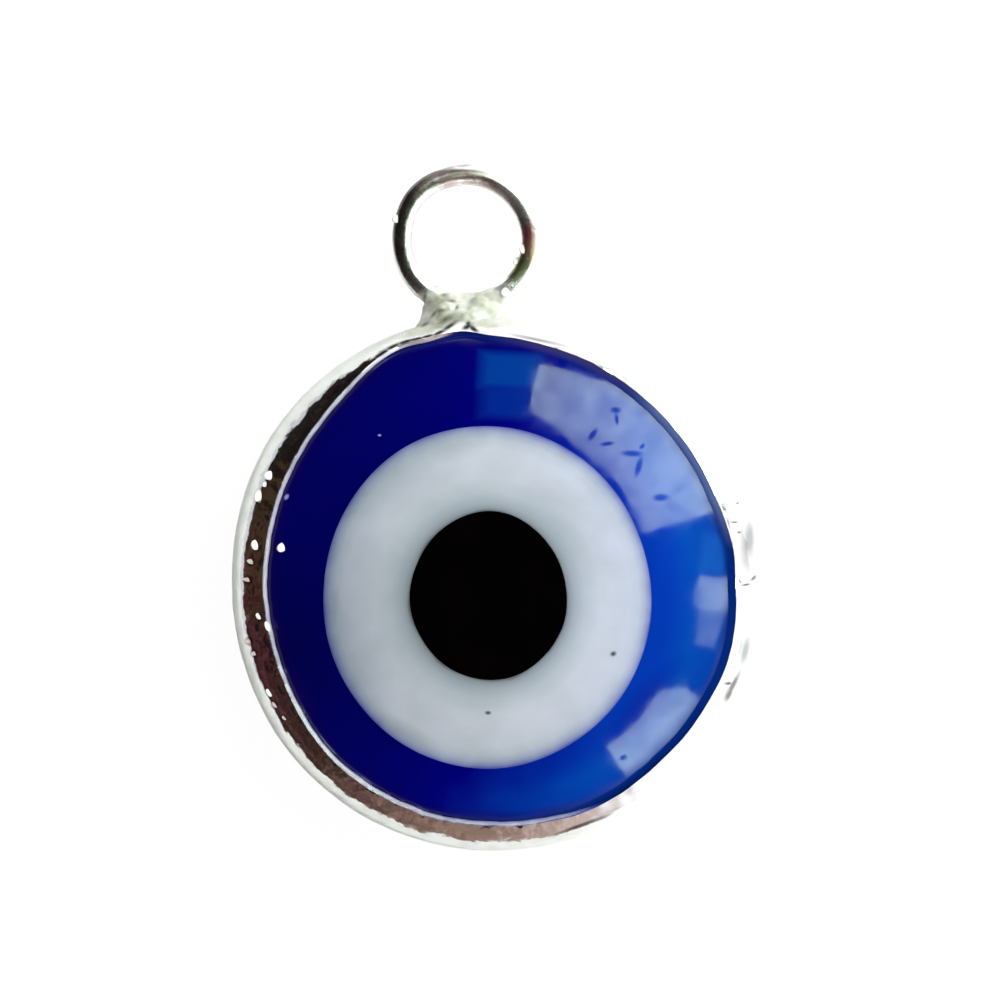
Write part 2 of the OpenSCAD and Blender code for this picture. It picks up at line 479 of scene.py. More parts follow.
def milk_glass():
    made, tree, shader, add = new_material("milk_glass")
    place = add("TexCoord").outputs["Object"]
    edge = add("Attribute", attribute_name="inward").outputs["Fac"]
    x = add("SeparateXYZ", place).outputs["X"]
    clouds = noise_field(add, place, 0.9, 4)
    drift = add("Math", clouds, 0.07, -0.035, operation="MULTIPLY_ADD").outputs[0]
    tone = add("Math", edge, drift, operation="ADD", use_clamp=True).outputs[0]
    milk = ramp(add, tone, (
        (0.0, (0.13, 0.15, 0.45)),
        (0.03, (0.28, 0.31, 0.57)),
        (0.08, (0.43, 0.465, 0.64)),
        (0.15, (0.57, 0.605, 0.72)),
        (0.26, (0.635, 0.65, 0.775)),
        (0.60, (0.64, 0.655, 0.77)),
        (0.78, (0.54, 0.575, 0.675)),
        (0.90, (0.415, 0.455, 0.54)),
        (0.97, (0.30, 0.335, 0.39)),
        (1.0, (0.12, 0.14, 0.16)),
    ))
    # Painted shade towards both ends of the white across the disc
    across = add("MapRange", x, white_left_x, white_right_x, 0.0, 1.0).outputs[0]
    sides = ramp(add, across, (
        (0.0, (0.72, 0.76, 0.82)),
        (0.20, (0.98, 1.0, 1.0)),
        (0.55, (1.0, 1.0, 1.0)),
        (0.92, (0.89, 0.91, 0.97)),
    ))
    milk = blend(add, 1.0, milk, sides, "MULTIPLY")
    streaks = ramp(add, clouds, ((0.35, (0.94, 0.95, 0.95)), (0.65, (1.05, 1.04, 1.05))))
    milk = blend(add, 1.0, milk, streaks, "MULTIPLY")
    for marks, share in ((white_greyings, 0.30), (white_shades, 0.26)):
        greyed = times(add, spots(add, place, marks, 0.95), share)
        milk = blend(add, greyed, milk, greying_colour)
    milk = blend(add, spots(add, place, white_pits, 0.7), milk, (0.06, 0.08, 0.12))
    tree.links.new(milk, shader.inputs["Base Color"])
    melted_gloss(tree, shader, add, noise_field(add, place, 0.35, 2), 0.05, 0.10)
    return made


white_ring.data.materials.append(milk_glass())
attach(white_ring, "root")
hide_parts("white_ring")

# Black pupil.
# A dot of black glass, melted last into the middle of the white and flush with it.
pupil_steps = 24
pupil_reach = pupil_edge - pupil_middle
pupil_rings = [lowered(pupil_rim, pupil_depth, s) for s in (0.3, 0.93)]
pupil_rings.append(pupil_rim)
for k in range(1, pupil_steps):
    pupil_rings.append(ring_on_top(pupil_middle + pupil_reach * (1 - k / pupil_steps)))
black_pupil = ring_mesh("black_pupil_glass", pupil_rings)


def black_glass():
    made, tree, shader, add = new_material("black_glass")
    place = add("TexCoord").outputs["Object"]
    clouds = noise_field(add, place, 1.4, 2)
    tint = ramp(add, clouds, ((0.45, (0.0002, 0.0003, 0.0003)), (0.8, (0.0015, 0.0004, 0.0005))))
    tree.links.new(tint, shader.inputs["Base Color"])
    melted_gloss(tree, shader, add, clouds, 0.04, 0.08)
    return made


black_pupil.data.materials.append(black_glass())
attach(black_pupil, "root")
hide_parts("black_pupil")

# Silver setting.
# A copper skin grown over the edge of the glass, soldered to a ring of round wire and then
# plated with silver all over. Its lip in front wanders, and small crumbs of metal stand on it.
spokes_metal = 840
around = np.linspace(0, 2 * math.pi, spokes_metal, endpoint=False)
skin_gap = 0.012 * mm
back_opening_r = 5.0 * mm
# The section of the lip: the share of its width across and the share of the skin's height up
lip_section = ((0, 0), (0.03, 0.25), (0.08, 0.43), (0.14, 0.51), (0.40, 0.75), (0.65, 1), (1, 1))
# The lip is wide on the left, between two bearings round the photograph, and changes to narrow
# over some degrees
wide_lip = 0.155 * mm
narrow_lip = 0.034 * mm
wide_lip_bearings = (97, 295)
lip_change = 15
# The first share of the outside, from the lip on, has finer rings
fine_share = 0.45
# The edge is pressed in on the left: deepest at a bearing round the photograph, over some
# degrees before and after it, and only near the outside
press_depth = 0.125 * mm
press_bearing = 182
press_spread = (26, 40)
press_from_r = 5.55 * mm
press_fade = 0.45 * mm
# The left of the rim is hammered: its middle bearing, its reach to each side and its soft ends
left_rim_bearing = 197
left_rim_reach = 100
left_rim_fade = 12
# The lip is a pale, less metallic line along it: a painted highlight
lip_line = 0.10 * mm
lip_line_fade = 0.03 * mm
# The plating is a little uneven, except on the back up to a height
plating_waves = 0.010 * mm
smooth_back_z = 0.3 * mm
metal_crease = math.radians(44)
loop_middle = Vector((0, 7.69, 1.1)) * mm
wire_r = 0.29 * mm
loop_r = 1.44 * mm
wire_steps = 160
wire_sides = 28
wire_from_y = 6.3 * mm
wire_fade = 0.2 * mm
# The wire swells at the upper left
swell = 0.05 * mm
swell_bearing = 138
swell_spread = 25
neck_half_t = 0.55 * mm
neck_middle_x = -0.24 * mm
neck_half_w = 0.93 * mm
neck_hollow_r = 0.6 * mm
neck_bite = 0.05 * mm
neck_foot = 0.982
neck_thinning = 0.35
neck_steps = 16
neck_sides = 96
# Solder spreads at its foot on the rim, tapers up to the wire, and fades out at its sides,
# beside the lip, on the wire and towards the back
solder_from_y = 4 * mm
solder_foot_y = 6.1 * mm
solder_foot_w = 0.3 * mm
solder_foot_slope = 1.1
solder_taper_y = 6.38 * mm
solder_taper_w = 0.25 * mm
solder_side = 0.85
solder_side_fade = 0.42 * mm
solder_lip_gap = 0.15 * mm
solder_lip_fade = 0.12 * mm
solder_end_y = 6.72 * mm
solder_end_fade = 0.22 * mm
solder_back_z = 0.2 * mm
solder_back_fade = 0.3 * mm
solder_waves = 0.022 * mm
lump_flatness = 0.45
fusing_voxel = 0.034
crumb_flatness = 0.32
crumb_seat = 0.9
# Crumbs of plating: the pixel that shows each, its two radii in mm, its turn in degrees
rim_crumbs = (
    (272, 475.5, 0.15, 0.10, 20), (267, 484, 0.08, 0.05, 60), (261, 495.5, 0.16, 0.10, 60),
    (257.7, 544.5, 0.12, 0.10, 80), (253.5, 561, 0.06, 0.10, 80), (250, 579, 0.05, 0.12, 85),
    (261, 615, 0.08, 0.06, 120), (270, 625, 0.12, 0.06, 110), (251, 640, 0.06, 0.10, 100),
    (256.5, 652, 0.05, 0.09, 110), (271, 691, 0.10, 0.06, 120), (276.5, 703, 0.08, 0.05, 130),
    (286, 716, 0.06, 0.04, 135), (741, 578, 0.11, 0.09, 50), (735, 664, 0.09, 0.05, 60),
)
wire_crumbs = (
    (397.5, 219, 0.13, 0.10, 20), (523.5, 249, 0.12, 0.10, 60), (517, 261, 0.11, 0.08, 50),
    (535.5, 225, 0.07, 0.12, 10), (507, 292, 0.16, 0.11, 30),
)
glass_crumb = (284.5, 546.8, 0.14, 0.10, 35)
# The crumbs that are painted darker than the others, as painted shade
shaded_crumbs = (
    (253.5, 561, 0.13, 0.13, 0), (250, 579, 0.14, 0.14, 0), (251, 640, 0.12, 0.12, 0),
    (256.5, 652, 0.11, 0.11, 0), (276.5, 703, 0.11, 0.11, 0), (286, 716, 0.09, 0.09, 0),
)
# A painted dark reflection on the wire: at bearings round the photograph in degrees, the distance in
# mm from the middle of the loop where it starts and ends, and how strong it is
wire_dark_reflection = (
    (-50, 1.20, 1.36, 0.0), (-40, 1.17, 1.43, 0.7), (-22, 1.19, 1.49, 0.75), (0, 1.21, 1.50, 0.6),
    (12, 1.20, 1.49, 0.6), (24, 1.21, 1.47, 0.35), (60, 1.22, 1.48, 0.35), (78, 1.42, 1.56, 0.7),
    (92, 1.455, 1.58, 0.95), (106, 1.45, 1.64, 0.95), (120, 1.45, 1.77, 0.9), (142, 1.46, 1.78, 0.95),
    (158, 1.44, 1.74, 0.9), (187, 1.425, 1.68, 0.95), (205, 1.42, 1.66, 0.8), (228, 1.42, 1.64, 0.6),
    (236, 1.42, 1.60, 0.0),
)
dark_reflection_inner_fade = 0.05 * mm
dark_reflection_outer_fade = 0.06 * mm
# Painted reflection at the top of the wire, in pink and grey places
wire_blush = ((450, 181, 0.42, 0.16, 20), (469, 178, 0.42, 0.16, 0), (488, 182, 0.42, 0.16, -22))
wire_greys = ((447, 169, 0.42, 0.12, 22), (464, 165.5, 0.36, 0.07, 5))
# Tints in the painted dark reflection on the right of the wire: where, and how much of each colour
# stays
wire_reflection_tints = (
    ((528, 234, 0.36, 0.20, 84), (1.9, 0.35, 0.60)),
    ((529.5, 249, 0.34, 0.20, 92), (2.4, 1.4, 0.95)),
    ((520, 267, 0.46, 0.22, 60), (1.4, 1.5, 0.65)),
    ((511, 199, 0.80, 0.18, -46), (1.45, 1.30, 1.42)),
)
# Lumps of solder: the pixel that shows each, its radius and the height of its middle in mm
solder_lumps = ((445, 314, 0.28, 1.47), (478, 306, 0.24, 1.42), (432, 322, 0.22, 1.34))
# Painted shade in hollows and painted highlights in streaks on the solder
solder_painted_shade = (
    (444, 295, 0.15, 0.07, 5), (452, 301.5, 0.12, 0.05, -5), (433.5, 315, 0.16, 0.05, 50),
    (443, 311, 0.20, 0.07, 10), (425, 296, 0.22, 0.06, 80), (425, 325, 0.14, 0.06, 30),
    (446, 320, 0.24, 0.09, 30), (457, 308, 0.10, 0.06, 60), (487, 289, 0.26, 0.05, 22),
)
solder_painted_highlights = ((473, 303, 0.14, 0.07, 40), (462, 325, 0.20, 0.08, 15), (487, 318, 0.40, 0.12, -12))
# Painted shade on the rim, dark marks on it, and a dark line beside the lip under the solder
rim_painted_shade = (
    (748, 539, 0.26, 0.80, -4), (744, 650, 0.19, 0.62, -12), (536, 341, 0.8, 0.05, -12),
)
dark_marks = (
    (752, 577.5, 0.14, 0.06, 40), (744, 584, 0.14, 0.03, 8), (732, 522, 0.12, 0.025, 0),
    (737, 532, 0.06, 0.03, 0), (736, 503, 0.06, 0.03, 20), (731.5, 684, 0.46, 0.10, 62),
    (727, 682, 0.14, 0.05, 0), (727.5, 693, 0.28, 0.10, 65), (581, 822.7, 0.85, 0.06, 20),
)
lip_dark_line = (
    (449.5, 327.5, 0.28, 0.07, 35), (439.5, 334, 0.28, 0.06, 24), (428, 337.6, 0.28, 0.055, 13),
    (416.7, 340.2, 0.28, 0.055, 12), (405.4, 343.3, 0.28, 0.065, 17), (394, 347.6, 0.30, 0.07, 25),
    (382.7, 354.5, 0.30, 0.07, 34), (467.5, 328, 0.20, 0.09, 25), (473.5, 330, 0.20, 0.08, -35),
    (468.5, 325, 0.09, 0.11, 0),
)
# Painted light: the solder is lighter towards the right, between these places across the disc
solder_dark_x = 0.25 * mm
solder_bright_x = 0.9 * mm
# Dents and grain of the hammered metal, and the lean of the wire, which was flattened a little
# to one side when it was closed
dent_depth = 0.035 * mm
grain_depth = 0.0035 * mm
wire_lean = (0.25, -0.02, 0.0)
# How much less like polished metal the solder, the wire and the lip look, where the lip's share
# makes its painted highlight, and how metallic the crumbs are
solder_dross = 0.75
wire_film = 0.08
lip_highlight_share = 0.5
crumb_metal = 0.2
# How strong the dents are anywhere, and how much more so on the solder or left rim and the wire
dents_least = 0.12
dents_on_rim = 0.78
dents_on_wire = 0.15


def smooth_step(value):
    """Rises softly from 0 to 1 while a value does."""
    t = np.clip(value, 0, 1)
    return t * t * (3 - 2 * t)


def half_section(dome, edge_x, round_r, round_z, corner, back_z):
    """Half the section of a domed disc, from its dome to the back opening, and its length so far."""
    round_x = edge_x - round_r
    slope = math.asin(round_x / (dome - round_r))
    # The metal reaches over the outer fifth of the dome at most
    over_dome = np.linspace(0.8, 1, 20, endpoint=False) * slope
    over_round = np.linspace(slope, math.pi / 2, 60)
    over_corner = np.linspace(math.pi / 2, math.pi, 30)
    r = np.concatenate((
        dome * np.sin(over_dome), round_x + round_r * np.sin(over_round),
        edge_x - corner * (1 - np.sin(over_corner)), (back_opening_r,)))
    z = np.concatenate((
        dome_z + dome * np.cos(over_dome), round_z + round_r * np.cos(over_round),
        back_z + corner * (1 + np.cos(over_corner)), (back_z,)))
    length = np.concatenate(((0,), np.cumsum(np.hypot(np.diff(r), np.diff(z)))))
    return r, z, length, len(over_dome) + len(over_round)


def pressed_in(r):
    """How far the edge is pressed in on the left, where the charm isn't quite round."""
    bearing = np.degrees(around + photo_lean) % 360
    away = (bearing - press_bearing) / np.where(bearing < press_bearing, *press_spread)
    return press_depth * np.exp(-away ** 2) * smooth_step((r - press_from_r) / press_fade)


def skin_rings():
    """The skin of metal as rings: its lip, its outside down to the back, and back up inside."""
    out_r, out_z, out_length, out_top = half_section(
        dome_r + metal_t, disc_r, shoulder_r, shoulder_z, corner_r, 0)
    in_r, in_z, in_length, in_top = half_section(
        dome_r + skin_gap, glass_r + skin_gap, glass_round_r + skin_gap, glass_round_z,
        glass_corner_r + skin_gap, glass_back_z - skin_gap)
    lip = lip_at(around)
    low, high = wide_lip_bearings
    from_middle = np.abs((np.degrees(around + photo_lean) - (low + high) / 2 + 180) % 360 - 180)
    within = ((high - low) / 2 - from_middle) / lip_change + 0.5
    width = narrow_lip + (wide_lip - narrow_lip) * smooth_step(within)
    rings = []
    for across, up in lip_section:
        r = lip + across * width
        under = np.interp(r, in_r[:in_top], in_z[:in_top])
        over = np.interp(r, out_r[:out_top], out_z[:out_top])
        rings.append((r, under + (over - under) * up))
    start = np.interp(lip + width, out_r[:out_top], out_length[:out_top])
    fine_steps = np.linspace(0, fine_share, 37)[1:]
    coarse_steps = np.linspace(fine_share, 1, 15)[1:]
    for s in np.concatenate((fine_steps, coarse_steps)):
        at = start + (out_length[-1] - start) * s
        r = np.interp(at, out_length, out_r)
        rings.append((r - pressed_in(r), np.interp(at, out_length, out_z)))
    outside = len(rings)
    start = np.interp(lip, in_r[:in_top], in_length[:in_top])
    for s in np.linspace(1, 0, 8, endpoint=False):
        at = start + (in_length[-1] - start) * s
        rings.append((np.interp(at, in_length, in_r), np.interp(at, in_length, in_z)))
    return [np.column_stack((r * np.cos(around), r * np.sin(around), z)) for r, z in rings], outside


def roughen(piece, depth, *sizes):
    """Sinks the points of a piece by uneven shares of a depth, in waves of some sizes in mm."""
    points = points_of(piece)
    normals = np.empty(points.size)
    piece.data.vertex_normals.foreach_get("vector", normals)
    waves = np.array([1 + sum(noise.noise(Vector(p) / (size * mm)) for size in sizes) for p in points])
    points -= normals.reshape(-1, 3) * (depth * waves)[:, None]
    piece.data.vertices.foreach_set("co", points.ravel())


def neck_side(side, hollow_r, t):
    """A point on the hollow side of the solder, from the rim at 0 to the wire at 1."""
    x = neck_middle_x + side * (neck_half_w + hollow_r)
    y = math.sqrt((disc_r + hollow_r - neck_bite) ** 2 - x * x)
    foot = math.atan2(-y, -x)
    top = 0 if side < 0 else -math.pi
    a = foot + (top - foot) * t
    return Vector((x + hollow_r * math.cos(a), y + hollow_r * math.sin(a)))


def neck_rings():
    """The solder between rim and wire: flat ovals that shrink from the rim to the wire."""
    rings = []
    for t in (0, *np.linspace(0, 1, neck_steps)):
        left = neck_side(-1, neck_hollow_r, t)
        right = neck_side(1, neck_hollow_r, t)
        middle = (left + right) / 2
        bow = max(disc_r - neck_bite - middle.length, 0) * (1 - t) ** 1.5
        half_t = neck_half_t * (1 - neck_thinning * float(smooth_step((t - 0.5) / 0.5)))
        ring = []
        for a in np.linspace(0, 2 * math.pi, neck_sides, endpoint=False):
            u = (1 - math.cos(a)) / 2
            at = left.lerp(right, u) + middle.normalized() * bow * 4 * u * (1 - u)
            ring.append((at.x, at.y, loop_middle.z + half_t * math.sin(a)))
        rings.append(np.array(ring))
    # The first ring sits inside the rim
    rings[0][:, :2] *= neck_foot
    return rings


def loop_reach(bearing):
    """Distance from the middle of the loop to its wire, which swells a little at the upper left."""
    from_swell = np.degrees(bearing + photo_lean) % 360 - swell_bearing
    return loop_r + swell * np.exp(-(from_swell / swell_spread) ** 2)


def wire_rings():
    """The wire of the loop, as rings round it from place to place."""
    rings = []
    for a in np.linspace(0, 2 * math.pi, wire_steps, endpoint=False):
        out = Vector((math.cos(a), math.sin(a), 0))
        reach = float(loop_reach(a))
        rings.append(np.array([
            loop_middle + out * (reach + wire_r * math.cos(b)) + Vector((0, 0, wire_r * math.sin(b)))
            for b in np.linspace(0, 2 * math.pi, wire_sides, endpoint=False)
        ]))
    return rings


def with_modifier(piece, kind, **settings):
    """Gives a piece the mesh that one modifier makes of it."""
    modifier = piece.modifiers.new(kind, kind)
    for key, value in settings.items():
        setattr(modifier, key, value)
    depsgraph = bpy.context.evaluated_depsgraph_get()
    shaped = bpy.data.meshes.new_from_object(piece.evaluated_get(depsgraph))
    piece.modifiers.clear()
    piece.data = shaped


def solder_share(x, y, z):
    """How much of a place is solder and not smooth plating, from 0 to 1."""
    beyond_lip = np.hypot(x, y) - lip_at(np.arctan2(y, x))
    half = neck_half_w + np.clip(solder_foot_slope * (solder_foot_y - y), 0, solder_foot_w)
    half = half - np.clip(y - solder_taper_y, 0, solder_taper_w)
    across = smooth_step(solder_side - (np.abs(x - neck_middle_x) - half) / solder_side_fade)
    rim_side = smooth_step((beyond_lip - solder_lip_gap) / solder_lip_fade)
    wire_side = smooth_step((solder_end_y - y) / solder_end_fade)
    front = smooth_step((z - solder_back_z) / solder_back_fade)
    return across * rim_side * wire_side * (y > solder_from_y) * front


def add_lumps(piece, shapes):
    """Adds closed pebbles to a mesh, each a matrix that shapes a ball of radius 1."""
    shaper = bmesh.new()
    shaper.from_mesh(piece.data)
    for shape in shapes:
        bmesh.ops.create_icosphere(shaper, subdivisions=3, radius=1, matrix=shape)
    for face in shaper.faces:
        face.smooth = True
    shaper.to_mesh(piece.data)
    shaper.free()


def solder_loop():
    """Wire and solder run together into one lumpy shape."""
    piece = ring_mesh("loop_and_solder", neck_rings())
    wire = ring_mesh("wire", wire_rings(), closed=True)
    shaper = bmesh.new()
    shaper.from_mesh(piece.data)
    shaper.from_mesh(wire.data)
    shaper.to_mesh(piece.data)
    shaper.free()
    bpy.data.objects.remove(wire)
    add_lumps(piece, [
        Matrix.Translation((*on_charm(px, py), z * mm))
        @ Matrix.Diagonal((r * mm, r * mm, lump_flatness * r * mm, 1))
        for px, py, r, z in solder_lumps
    ])
    # They are fused while a millimetre is a whole unit, because voxels can't be much smaller
    piece.data.transform(Matrix.Scale(1 / mm, 4))
    with_modifier(piece, "REMESH", mode="VOXEL", voxel_size=fusing_voxel)
    with_modifier(piece, "SMOOTH", factor=0.5, iterations=5)
    piece.data.transform(Matrix.Scale(mm, 4))
    share = solder_share(*points_of(piece).T)
    roughen(piece, plating_waves * (1 - share), 0.7)
    roughen(piece, solder_waves * share, 0.6, 0.3, 0.15)
    return piece


def crumb_shape(px, py, across, along, turned, base_z):
    """A flat pebble whose face leans to the window."""
    window_bearing = math.radians(45) - photo_lean
    lean = math.radians(23)
    return (
        Matrix.Translation((*on_charm(px, py), base_z))
        @ Matrix.Rotation(window_bearing, 4, "Z") @ Matrix.Rotation(lean, 4, "Y")
        @ Matrix.Rotation(math.radians(turned) - photo_lean - window_bearing, 4, "Z")
        @ Matrix.Diagonal((across * mm, along * mm, crumb_flatness * min(across, along) * mm, 1)))


def crumbs():
    """The crumbs of plating on the rim, on the wire and on the glass."""
    out_r, out_z, _, top = half_section(dome_r + metal_t, disc_r, shoulder_r, shoulder_z, corner_r, 0)
    shapes = []
    for px, py, *size in rim_crumbs:
        base_z = np.interp(on_charm(px, py).length, out_r[:top], out_z[:top])
        shapes.append(crumb_shape(px, py, *size, base_z))
    for px, py, *size in wire_crumbs:
        off = (on_charm(px, py) - loop_middle.xy).length - loop_r
        base_z = loop_middle.z + crumb_seat * math.sqrt(max(wire_r ** 2 - off ** 2, 0))
        shapes.append(crumb_shape(px, py, *size, base_z))
    px, py, *size = glass_crumb
    reach = on_charm(px, py).length
    shapes.append(crumb_shape(px, py, *size, dome_z + math.sqrt(dome_r ** 2 - reach ** 2)))
    return shapes


skin, outside_rings = skin_rings()
silver_setting = ring_mesh("silver_setting_metal", skin, closed=True)
skin_points = points_of(silver_setting)
on_outside = np.arange(len(skin_points)) < outside_rings * spokes_metal
off_back = smooth_step(skin_points[:, 2] / smooth_back_z)
roughen(silver_setting, plating_waves * on_outside * off_back, 0.9, 0.3)
loop = solder_loop()
with_modifier(silver_setting, "BOOLEAN", operation="UNION", solver="EXACT", object=loop)
bpy.data.objects.remove(loop)
plain_count = len(silver_setting.data.vertices)
add_lumps(silver_setting, crumbs())
silver_points = points_of(silver_setting)
is_crumb = np.arange(len(silver_points)) >= plain_count
solder_here = solder_share(*silver_points.T) * ~is_crumb
wire_here = smooth_step((silver_points[:, 1] - wire_from_y) / wire_fade) * (1 - solder_here)
# Where the wire gets its painted dark reflection
from_loop = silver_points - np.array(loop_middle)
wire_bearing = np.degrees(np.arctan2(from_loop[:, 1], from_loop[:, 0]) + photo_lean)
wire_bearing = (wire_bearing + 90) % 360 - 90
wire_reach = np.hypot(from_loop[:, 0], from_loop[:, 1])
dark_reflection_bearing, dark_reflection_start, dark_reflection_end, dark_reflection_strength = np.array(wire_dark_reflection).T
dark_reflection = np.interp(wire_bearing, dark_reflection_bearing, dark_reflection_strength)
inner = np.interp(wire_bearing, dark_reflection_bearing, dark_reflection_start) * mm
outer = np.interp(wire_bearing, dark_reflection_bearing, dark_reflection_end) * mm
dark_reflection = dark_reflection * smooth_step((wire_reach - inner) / dark_reflection_inner_fade + 0.5)
dark_reflection = dark_reflection * smooth_step((outer - wire_reach) / dark_reflection_outer_fade + 0.5)
rim_bearing = np.arctan2(silver_points[:, 1], silver_points[:, 0])
from_left = np.abs(np.degrees(rim_bearing + photo_lean) % 360 - left_rim_bearing)
left_rim = smooth_step((left_rim_reach - from_left) / left_rim_fade)
# The lip's painted highlight along the left rim
beyond_lip = np.hypot(silver_points[:, 0], silver_points[:, 1]) - lip_at(rim_bearing)
lip_highlight_here = left_rim * smooth_step((lip_line - beyond_lip) / lip_line_fade)
lip_highlight_here = lip_highlight_here * (silver_points[:, 2] > shoulder_z) * ~is_crumb
metal_here = 1 - solder_dross * solder_here - wire_film * wire_here - lip_highlight_share * lip_highlight_here
dents_here = dents_least + dents_on_rim * np.maximum(solder_here, left_rim)
mark_points(silver_setting, "solder", solder_here)
mark_points(silver_setting, "dull", np.where(is_crumb, 1, wire_here))
mark_points(silver_setting, "metal", np.where(is_crumb, crumb_metal, metal_here))
mark_points(silver_setting, "hammered", dents_here + dents_on_wire * wire_here)
mark_points(silver_setting, "lip", lip_highlight_here)
mark_points(silver_setting, "painted_reflection", wire_here * dark_reflection * ~is_crumb)
silver_setting.data.shade_smooth()
silver_setting.data.set_sharp_from_angle(angle=metal_crease)


def silver_plate():
    made, tree, shader, add = new_material("silver_plate")
    place = add("TexCoord").outputs["Object"]
    solder, dull, painted_reflection, metal, hammer, lip = (
        add("Attribute", attribute_name=name).outputs["Fac"]
        for name in ("solder", "dull", "painted_reflection", "metal", "hammered", "lip"))
    clouds = noise_field(add, place, 0.45, 5)
    bright = ramp(add, clouds, ((0.35, (0.84, 0.83, 0.82)), (0.6, (0.93, 0.92, 0.92))))
    # Painted shade on the rim and on some crumbs, dark marks, the lip's painted highlight, and painted
    # reflection at the top of the wire
    for here, colour in (
            (spots(add, place, rim_painted_shade, 0.8), (0.38, 0.38, 0.41)),
            (spots(add, place, dark_marks, 0.7), (0.20, 0.20, 0.20)),
            (spots(add, place, shaded_crumbs, 0.4), (0.46, 0.38, 0.38)),
            (lip, (0.78, 0.76, 0.88)),
            (spots(add, place, wire_greys, 0.8), (0.36, 0.36, 0.38)),
            (spots(add, place, wire_blush, 0.6), (0.50, 0.36, 0.38))):
        bright = blend(add, here, bright, colour)
    # The painted dark reflection on the wire, in mottled dark colours
    dark_reflection = ramp(add, clouds, (
        (0.38, (0.030, 0.034, 0.024)),
        (0.47, (0.066, 0.062, 0.040)),
        (0.54, (0.085, 0.044, 0.042)),
        (0.62, (0.13, 0.10, 0.11)),
    ))
    bright = blend(add, painted_reflection, bright, dark_reflection)
    # Tints in the painted dark reflection on the right of the wire
    for mark, tint in wire_reflection_tints:
        tinted = blend(add, 1.0, bright, tint, "MULTIPLY")
        here = times(add, spots(add, place, (mark,), 0.7), painted_reflection)
        bright = blend(add, here, bright, tinted)
    grey = ramp(add, clouds, (
        (0.36, (0.54, 0.54, 0.44)),
        (0.47, (0.72, 0.72, 0.63)),
        (0.6, (0.84, 0.84, 0.77)),
    ))
    # Painted shade in the solder's hollows and painted highlights in its streaks
    grey = blend(add, spots(add, place, solder_painted_shade, 0.95), grey, (0.20, 0.20, 0.12))
    grey = blend(add, spots(add, place, solder_painted_highlights, 0.9), grey, (0.96, 0.97, 0.94))
    # Painted light: the solder is lighter towards the right
    x = add("SeparateXYZ", place).outputs["X"]
    to_right = add("MapRange", x, solder_dark_x, solder_bright_x, 0.0, 0.85).outputs[0]
    grey = blend(add, to_right, grey, (0.96, 0.96, 0.94))
    plating = blend(add, solder, bright, grey)
    plating = blend(add, spots(add, place, lip_dark_line, 0.7), plating, (0.03, 0.03, 0.03))
    tree.links.new(plating, shader.inputs["Base Color"])
    tree.links.new(metal, shader.inputs["Metallic"])
    base_rough = add("MapRange", clouds, 0.3, 0.7, 0.14, 0.08).outputs[0]
    rough = add("Math", dull, 0.16, base_rough, operation="MULTIPLY_ADD").outputs[0]
    rough = add("Math", solder, 0.35, rough, operation="MULTIPLY_ADD").outputs[0]
    tree.links.new(rough, shader.inputs["Roughness"])
    hammered = add("Bump", hammer, dent_depth)
    tree.links.new(noise_field(add, place, 0.4, 2), hammered.inputs["Height"])
    grained = add("Bump", hammer, grain_depth)
    tree.links.new(noise_field(add, place, 0.12, 2), grained.inputs["Height"])
    tree.links.new(hammered.outputs["Normal"], grained.inputs["Normal"])
    flattened = add("VectorMath", wire_lean, None, None, dull, operation="SCALE").outputs[0]
    leaning = add("VectorMath", grained.outputs["Normal"], flattened, operation="ADD").outputs[0]
    facing = add("VectorMath", leaning, operation="NORMALIZE").outputs[0]
    tree.links.new(facing, shader.inputs["Normal"])
    return made


silver_setting.data.materials.clear()
silver_setting.data.materials.append(silver_plate())
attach(silver_setting, "root")
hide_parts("silver_setting")

# Tabletop.
# A sheet of white paper, on which the charm lies near the lower left corner. It is brighter
# towards the window on the right, and lit until it is as bright as the photograph's ground.
paper_near = -14 * mm
paper_far = 600 * mm
table_z = -0.01 * mm
# The light that it throws on the charm grows along this way, between these places
paper_way = (1, 0.35, 0)
paper_dim_at = -7 * mm
paper_bright_at = 5 * mm
# Seen by itself it is mostly an even glow
paper_glow = 1.05
paper_glow_share = 0.9
tabletop_mesh = bpy.data.meshes.new("tabletop")
tabletop_mesh.from_pydata([
    (paper_near, paper_near, table_z), (paper_far, paper_near, table_z),
    (paper_far, paper_far, table_z), (paper_near, paper_far, table_z),
], [], [(0, 1, 2, 3)])
tabletop = bpy.data.objects.new("tabletop", tabletop_mesh)
bpy.context.scene.collection.objects.link(tabletop)


def levels(*stops):
    """Stops of a ramp of plain numbers, each a place and a level."""
    return [(at, (level, level, level)) for at, level in stops]


def white_paper():
    made, tree, shader, add = new_material("white_paper")
    shader.inputs["Base Color"].default_value = (0.80, 0.81, 0.81, 1)
    shader.inputs["Roughness"].default_value = 0.9
    shader.inputs["Specular IOR Level"].default_value = 0.1
    shader.inputs["Emission Color"].default_value = (1, 1, 1, 1)
    place = add("TexCoord").outputs["Object"]
    along = add("VectorMath", place, paper_way, operation="DOT_PRODUCT").outputs["Value"]
    along = add("MapRange", along, paper_dim_at, paper_bright_at, 0.0, 1.0).outputs[0]
    strength = ramp(add, along, levels(
        (0.04, 0.17), (0.33, 0.22), (0.54, 0.30), (0.70, 0.45), (0.85, 0.80),
    ))
    tree.links.new(strength, shader.inputs["Emission Strength"])
    glow = add("Emission", (1, 1, 1, 1), paper_glow)
    direct = times(add, add("LightPath").outputs["Is Camera Ray"], paper_glow_share)
    mixed = add("MixShader", direct, shader.outputs[0], glow.outputs[0])
    tree.links.new(mixed.outputs[0], tree.nodes["Material Output"].inputs["Surface"])
    return made


tabletop_mesh.materials.append(white_paper())

# Light.
# A window with several panes stands to the right, and the rest of the room is dim and brown
# on the left. The panes show on the right of the glass, and they light the charm from there.
pane_distance = 0.35
